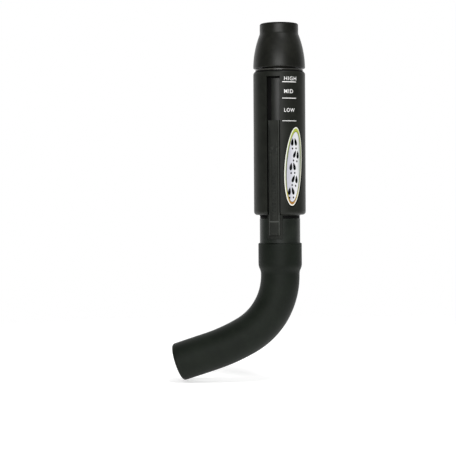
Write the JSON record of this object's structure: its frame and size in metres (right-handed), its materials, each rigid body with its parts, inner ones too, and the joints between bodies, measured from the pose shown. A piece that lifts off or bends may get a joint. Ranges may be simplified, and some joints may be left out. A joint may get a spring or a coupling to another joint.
{
  "type": "breath-blown game call",
  "caption": "Hand-held breath-blown deer grunt call: flared mouthpiece, slotted barrel with thumb tone slide, and a curved rubber resonator tube.",
  "frame": {"origin": "on the barrel's axis, at the middle of the outer barrel's length", "axes": "+Z along the barrel towards the mouthpiece, the thumb slide faces -Y, the resonator tube bends towards -X"},
  "size_m": [0.0963, 0.0424, 0.254],
  "materials": {
    "mouth_rubber": "matte soft-touch",
    "liner_plastic": "moulded",
    "neck_plastic": "satin moulded",
    "seal_rubber": "smooth",
    "barrel_plastic": "fine moulded texture",
    "inner_plastic": "satin moulded",
    "bush_plastic": "moulded",
    "slider_plastic": "satin moulded",
    "grip_rubber": "ribbed",
    "carrier_plastic": "natural nylon",
    "tension_rubber": "smooth",
    "board_plastic": "polished",
    "reed_film": "translucent film",
    "wedge_rubber": "cork-like",
    "plug_plastic": "moulded",
    "adapter_plastic": "satin moulded",
    "tube_rubber": "matte moulded rubber",
    "badge_print": "printed, clear coated"
  },
  "bodies": {
    "barrel": {"outer_barrel": "barrel_plastic", "inner_barrel": "inner_plastic", "barrel_bush": "bush_plastic", "neck_collar": "neck_plastic", "neck_o_ring": "seal_rubber", "tone_board": "board_plastic", "reed_wedge": "wedge_rubber", "insert_plug": "plug_plastic", "insert_o_ring": "seal_rubber", "tube_adapter": "adapter_plastic", "adapter_o_ring": "seal_rubber", "foot_gasket": "seal_rubber", "side_badge": "badge_print"},
    "mouthpiece": {"mouthpiece": "mouth_rubber", "mouthpiece_core": "liner_plastic"},
    "slider": {"tone_slider": "slider_plastic", "grip_strip": "grip_rubber", "ring_carrier": "carrier_plastic", "tension_o_ring": "tension_rubber"},
    "reed": {"reed": "reed_film"},
    "tube": {"resonator_tube": "tube_rubber"}
  },
  "joints": [
    {"name": "tone_slide", "type": "slide", "parent": "barrel", "child": "slider", "axis": [0, 0, 1], "range_m": [0, 0.0305]},
    {"name": "mouthpiece_pull", "type": "slide", "parent": "barrel", "child": "mouthpiece", "axis": [0, 0, 1], "range_m": [0, 0.01]},
    {"name": "tube_swivel", "type": "hinge", "parent": "barrel", "child": "tube", "pos_m": [0, 0, -0.08], "axis": [0, 0, 1], "continuous": true},
    {"name": "reed_flex", "type": "hinge", "parent": "barrel", "child": "reed", "pos_m": [0, 0.00315, -0.038], "axis": [1, 0, 0], "range_deg": [0, 0.7], "stiffness_Nm_per_rad": 0.01}
  ]
}
